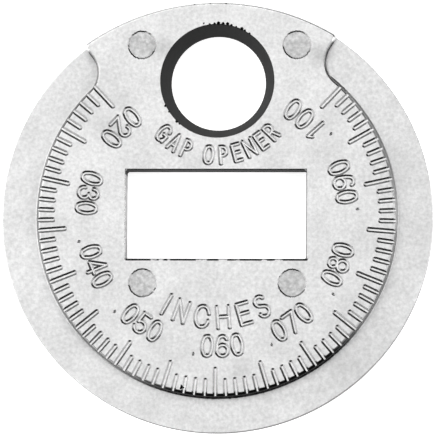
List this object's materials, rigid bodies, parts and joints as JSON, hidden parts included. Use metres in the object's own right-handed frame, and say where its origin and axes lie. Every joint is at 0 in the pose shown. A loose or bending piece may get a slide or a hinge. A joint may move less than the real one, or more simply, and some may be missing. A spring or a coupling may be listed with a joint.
{
  "type": "spark plug gap gauge",
  "caption": "Coin-shaped die-cast spark plug gap gauge with a ramped measuring rim, sunk graduations, a rectangular window and a tapered hole that bends the plug's electrode.",
  "frame": {"origin": "centre of the coin on the surface that it lies on, inch scale up", "axes": "+Z out of the inch side, +Y from the centre towards the tapered hole, +X to the right with the hole at the top"},
  "size_m": [0.055, 0.0551, 0.004],
  "materials": {
    "die_cast_zinc": "satin, as die-cast zinc alloy"
  },
  "bodies": {
    "root": {"gauge_body": "die_cast_zinc"}
  },
  "joints": []
}
